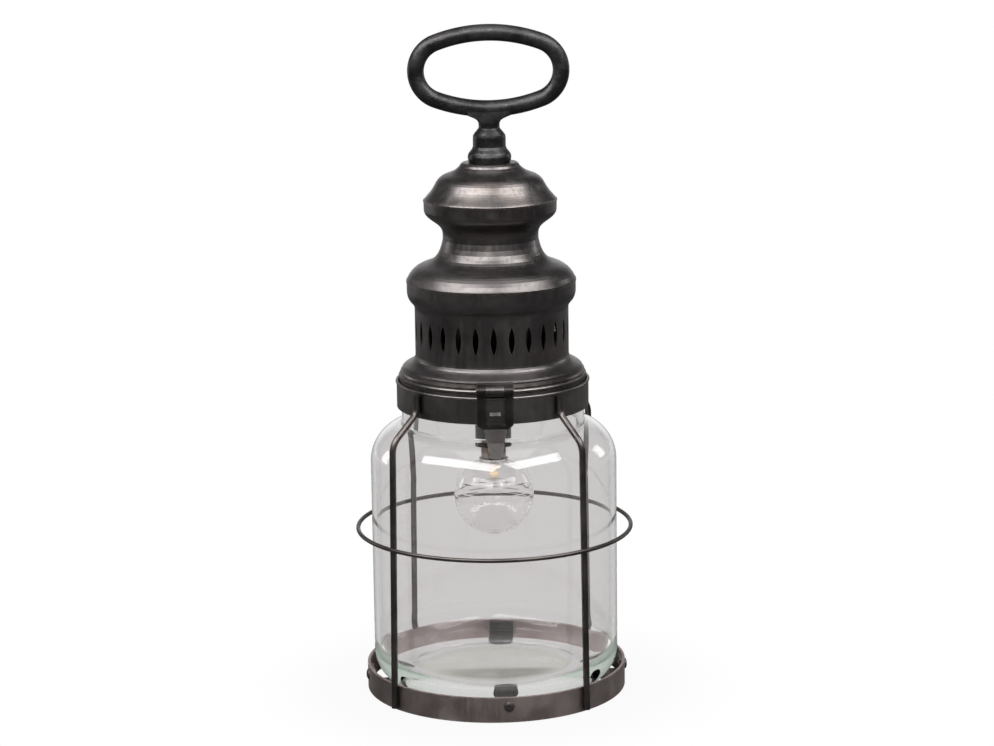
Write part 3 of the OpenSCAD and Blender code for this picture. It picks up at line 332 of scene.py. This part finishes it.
STEEL = bare_metal("zinc_steel", (0.62, 0.61, 0.59), (0.30, 0.29, 0.28), 0.28)
AGED = bare_metal("aged_cap_metal", (0.22, 0.18, 0.15), (0.08, 0.065, 0.055), 0.34, (0.1, 0.1, 1.0), 0.8)
BRASS = bare_metal("contact_brass", (0.72, 0.55, 0.28), (0.40, 0.28, 0.13), 0.25)
BLACK = plastic("black_moulded", (0.014, 0.014, 0.014), 0.42)
PALE = plastic("pale_moulded", (0.62, 0.61, 0.58), 0.40)
LEAD = plastic("lead_sleeve", (0.72, 0.70, 0.62), 0.45)
CELL = plastic("cell_sleeve", (0.10, 0.11, 0.13), 0.22, 500.0, 0.05)
BOARD = plastic("board_green", (0.03, 0.13, 0.07), 0.35, 1400.0, 0.3)
LENS = light_lens("light_lens")

LOOKS = {
    IRON: ["vented_drum", "cap_shoulder", "cap_dome"],
    BAND: ["cage_band"],
    SHADED_STRAP: ["hasp_strap"],
    ROD: ["rod_front_left", "rod_front_right", "rod_back_left", "rod_back_right", "guard_ring"],
    DARK: ["glass_tabs", "tab_rivets", "lamp_deck", "hinge_lower_leaf", "hinge_rivets", "hinge_pin",
           "hinge_upper_leaf", "latch_nose", "hasp_leaf", "hasp_pin"],
    BASE: ["base_ring"],
    CAST: ["handle"],
    JAR: ["glass_jar", "jar_bottom", "jar_shoulder", "jar_neck"],
    BULB: ["bulb_glass"],
    FELT: ["jar_gasket"],
    STEEL: ["deck_screws", "contact_springs", "bulb_contact", "led_leads", "handle_washer", "handle_nut"],
    AGED: ["bulb_cap"],
    BRASS: ["thread_insert", "centre_contact", "contact_plates"],
    BLACK: ["lampholder", "battery_box", "switch_body", "battery_cover", "bulb_insulator"],
    PALE: ["switch_slider"],
    LEAD: ["lamp_leads"],
    CELL: ["batteries"],
    BOARD: ["control_board"],
    LENS: ["led"],
}
for material, names in LOOKS.items():
    for name in names:
        mesh = NODES[name].data
        if not mesh.materials:
            mesh.materials.append(material)
        for i in range(len(mesh.materials)):
            mesh.materials[i] = material


# ---------------------------------------------------------------- glass jar

def arc_points(centre, radius, first, last, steps):
    points = []
    for i in range(steps + 1):
        a = math.radians(first + (last - first) * i / steps)
        points.append((centre[0] + radius * math.cos(a), centre[1] + radius * math.sin(a)))
    return points


def curve_points(a, b, c, d, steps):
    points = []
    for i in range(1, steps + 1):
        t = i / steps
        w = ((1 - t) ** 3, 3 * (1 - t) ** 2 * t, 3 * (1 - t) * t * t, t ** 3)
        points.append(tuple(sum(k * q[n] for k, q in zip(w, (a, b, c, d))) for n in (0, 1)))
    return points


def revolved(name, profile, segments):
    """A smooth-shaded closed solid of revolution from a profile in millimetres, axis to axis."""
    verts, faces, rings = [], [], []
    for r, z in profile:
        if r < 1e-6:
            rings.append([len(verts)])
            verts.append((0.0, 0.0, z * MM))
            continue
        rings.append(list(range(len(verts), len(verts) + segments)))
        for k in range(segments):
            a = 2 * math.pi * k / segments
            verts.append((r * math.cos(a) * MM, r * math.sin(a) * MM, z * MM))
    for low, high in zip(rings, rings[1:]):
        for k in range(segments):
            n = (k + 1) % segments
            quad = [low[k % len(low)], low[n % len(low)], high[n % len(high)], high[k % len(high)]]
            faces.append([v for i, v in enumerate(quad) if v not in quad[:i]])
    mesh = bpy.data.meshes.new(name)
    mesh.from_pydata(verts, [], faces)
    mesh.validate()
    for face in mesh.polygons:
        face.use_smooth = True
    obj = bpy.data.objects.new(name, mesh)
    scene.collection.objects.link(obj)
    return obj


def smooth_jar():
    """The jar as blown glass: the CAD jar's outline with finely rounded heel, shoulder and rim."""
    z0, z1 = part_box("jar_bottom")[0][2] / MM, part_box("jar_neck")[1][2] / MM
    out_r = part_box("glass_jar")[1][0] / MM
    wall, floor, heel, turn, neck, neck_h, sweep = 2.5, 5.0, 18.0, 23.0, 52.2, 17.0, 75.0
    ca, sa = math.cos(math.radians(sweep)), math.sin(math.radians(sweep))

    def rise_over(radius, to_r):
        """Height of the curve that leads from the shoulder arc's end up to the neck."""
        return 0.95 + 0.3 * (out_r - turn + radius * ca - to_r)

    def neck_rise(radius, to_r, base_z):
        x, z = out_r - turn + radius * ca, base_z + radius * sa
        up, pull = rise_over(radius, to_r), 0.45 * (x - to_r)
        handles = (x - pull * sa, z + pull * ca), (to_r, z + 0.5 * up)
        return curve_points((x, z), *handles, (to_r, z + up), 10)

    shoulder_z = z1 - neck_h - rise_over(turn, neck) - turn * sa
    inner_heel = heel + 3.0
    profile = [(0.0, z0)] + [(r, z0) for r in (20.0, 40.0, out_r - heel - 4.0)]
    profile += arc_points((out_r - heel, z0 + heel), heel, -90, 0, 32)
    profile += [(out_r, z0 + k) for k in (45.0, 80.0, shoulder_z - z0 - 4.0)]
    profile += arc_points((out_r - turn, shoulder_z), turn, 0, sweep, 32)
    profile += neck_rise(turn, neck, shoulder_z)
    profile += [(neck, z1 - 8.0), (neck, z1 - 1.2)]
    profile += arc_points((neck - 0.8, z1 - 0.8), 0.8, 0, 90, 5)
    inside = [(0.0, z0 + floor)] + [(r, z0 + floor) for r in (20.0, 38.0)]
    inside += arc_points((out_r - wall - inner_heel, z0 + floor + inner_heel), inner_heel, -90, 0, 32)
    inside += [(out_r - wall, z0 + k) for k in (50.0, 80.0, shoulder_z - z0 - 4.0)]
    inside += arc_points((out_r - turn, shoulder_z), turn - wall, 0, sweep, 32)
    inside += neck_rise(turn - wall, neck - wall, shoulder_z)
    inside += [(neck - wall, z1 - 8.0), (neck - wall, z1 - 1.0)]
    inside += arc_points((neck - wall + 0.6, z1 - 0.6), 0.6, 180, 90, 4)
    jar = revolved("jar_blown", profile + inside[::-1], 256)
    jar.data.materials.append(JAR)
    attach(jar, "lantern")
    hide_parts("glass_jar", "jar_bottom", "jar_shoulder", "jar_neck")
    return jar


smooth_jar()


# ---------------------------------------------------------------- camera

FOCAL_PX = 2843.8
PHOTO_WIDTH_PX = 994.0
CAMERA_PLACE = (-0.0349, -1.5918, 0.5197)
camera_data = bpy.data.cameras.new("camera")
camera_data.sensor_width = 36.0
camera_data.lens = FOCAL_PX * camera_data.sensor_width / PHOTO_WIDTH_PX
camera_data.clip_start = 0.05
camera_data.clip_end = 50.0
camera = bpy.data.objects.new("camera", camera_data)
scene.collection.objects.link(camera)
TURN = math.radians(-1.35)
PITCH = 0.2076
ROLL = -0.0046 - math.radians(0.50)
camera.matrix_world = (
    Matrix.Translation(CAMERA_PLACE)
    @ Matrix.Rotation(TURN, 4, "Z")
    @ Matrix.Rotation(math.pi / 2 - PITCH, 4, "X")
    @ Matrix.Rotation(ROLL, 4, "Z")
)
scene.camera = camera


# ---------------------------------------------------------------- studio

def in_glass(tree, path):
    """1 for a ray that has gone through glass before and is not a diffuse one."""
    after = math_node(tree, "GREATER_THAN", path.outputs["Transmission Depth"], 0.5)
    not_diffuse = math_node(tree, "SUBTRACT", 1.0, path.outputs["Is Diffuse Ray"])
    return math_node(tree, "MULTIPLY", after, not_diffuse)


def studio_world():
    """White to the camera and through glass, and a softer studio to the object's surfaces."""
    world = bpy.data.worlds.new("studio")
    scene.world = world
    world.use_nodes = True
    tree = world.node_tree
    tree.nodes.clear()
    out = tree.nodes.new("ShaderNodeOutputWorld")
    coord = tree.nodes.new("ShaderNodeTexCoord").outputs["Generated"]
    split = tree.nodes.new("ShaderNodeSeparateXYZ")
    tree.links.new(coord, split.inputs[0])
    back = ramp(tree, split.outputs["Y"], -0.55, 0.55)
    shade = mix_colors(tree, back, (0.12, 0.12, 0.122), (0.28, 0.28, 0.28))
    soft = tree.nodes.new("ShaderNodeBackground")
    tree.links.new(shade, soft.inputs["Color"])
    soft.inputs["Strength"].default_value = 0.45
    white = tree.nodes.new("ShaderNodeBackground")
    white.inputs["Color"].default_value = (1.0, 1.0, 1.0, 1.0)
    path = tree.nodes.new("ShaderNodeLightPath")
    seen = math_node(tree, "MAXIMUM", path.outputs["Is Camera Ray"], path.outputs["Is Transmission Ray"])
    behind = ramp(tree, split.outputs["Y"], 0.86, 0.99)
    glossy = math_node(tree, "MULTIPLY", path.outputs["Is Glossy Ray"], behind)
    seen = math_node(tree, "MAXIMUM", seen, glossy)
    seen = math_node(tree, "MAXIMUM", seen, in_glass(tree, path))
    blend = tree.nodes.new("ShaderNodeMixShader")
    tree.links.new(seen, blend.inputs[0])
    tree.links.new(soft.outputs[0], blend.inputs[1])
    tree.links.new(white.outputs[0], blend.inputs[2])
    tree.links.new(blend.outputs[0], out.inputs["Surface"])


def studio_floor():
    """A wide floor: white to the camera, glass and metal, with the object's soft shadow close to it."""
    size = 6.0
    mesh = bpy.data.meshes.new("floor")
    corners = [(-size, -size, 0), (size, -size, 0), (size, size, 0), (-size, size, 0)]
    mesh.from_pydata(corners, [], [(0, 1, 2, 3)])
    floor = bpy.data.objects.new("floor", mesh)
    floor.location.z = -0.0004
    scene.collection.objects.link(floor)
    mat = bpy.data.materials.new("floor_white")
    mat.use_nodes = True
    tree = mat.node_tree
    tree.nodes.clear()
    out = tree.nodes.new("ShaderNodeOutputMaterial")
    coord = tree.nodes.new("ShaderNodeTexCoord").outputs["Object"]
    paint = tree.nodes.new("ShaderNodeBsdfDiffuse")
    mottle = noise(tree, coord, 9.0, 3.0, 0.5)
    shades = (0.095, 0.095, 0.095), (0.105, 0.105, 0.105)
    tree.links.new(mix_colors(tree, mottle, *shades), paint.inputs["Color"])
    glow = tree.nodes.new("ShaderNodeEmission")
    path = tree.nodes.new("ShaderNodeLightPath")
    seen = math_node(tree, "MAXIMUM", path.outputs["Is Camera Ray"], path.outputs["Is Transmission Ray"])
    split = tree.nodes.new("ShaderNodeSeparateXYZ")
    tree.links.new(coord, split.inputs[0])
    share = ramp(tree, split.outputs["Y"], 0.4, 2.2, 0.0, 0.5)
    behind = math_node(tree, "MULTIPLY", path.outputs["Is Glossy Ray"], share)
    seen = math_node(tree, "MAXIMUM", math_node(tree, "MAXIMUM", seen, behind), in_glass(tree, path))
    away = tree.nodes.new("ShaderNodeVectorMath")
    away.operation = "LENGTH"
    tree.links.new(coord, away.inputs[0])
    far = ramp(tree, away.outputs["Value"], 0.05, 0.16, 0.94, 1.0)
    blend = tree.nodes.new("ShaderNodeMixShader")
    tree.links.new(math_node(tree, "MULTIPLY", seen, far), blend.inputs[0])
    tree.links.new(paint.outputs[0], blend.inputs[1])
    tree.links.new(glow.outputs[0], blend.inputs[2])
    tree.links.new(blend.outputs[0], out.inputs["Surface"])
    mesh.materials.append(mat)


AIM = Vector((0.0, 0.0, 0.17))

# name: azimuth from the front, positive to the right, elevation, distance, width, height, watts
LAMPS = {
    "box_left": (-42.0, 47.0, 1.7, 2.25, 0.62, 36.0),
    "box_right": (52.0, 47.0, 1.7, 1.60, 0.62, 23.0),
    "box_top": (5.0, 84.0, 2.0, 1.6, 1.2, 6.0),
    "edge_left": (-123.0, 7.0, 1.3, 0.26, 0.40, 0.9),
    "edge_right": (122.0, 12.0, 1.3, 0.26, 0.40, 0.9),
}


def soft_box(name, azimuth, elevation, distance, width, height, watts):
    """An area light that is aimed at the object's middle."""
    data = bpy.data.lights.new(name, "AREA")
    data.shape = "RECTANGLE"
    data.size = width
    data.size_y = height
    data.energy = watts
    lamp = bpy.data.objects.new(name, data)
    a, e = math.radians(azimuth), math.radians(elevation)
    away = Vector((math.sin(a) * math.cos(e), -math.cos(a) * math.cos(e), math.sin(e)))
    place = AIM + distance * away
    lamp.location = place
    lamp.rotation_euler = (AIM - place).to_track_quat("-Z", "Y").to_euler()
    scene.collection.objects.link(lamp)


studio_world()
studio_floor()
for lamp_name, settings in LAMPS.items():
    soft_box(lamp_name, *settings)

scene.view_settings.view_transform = "Standard"
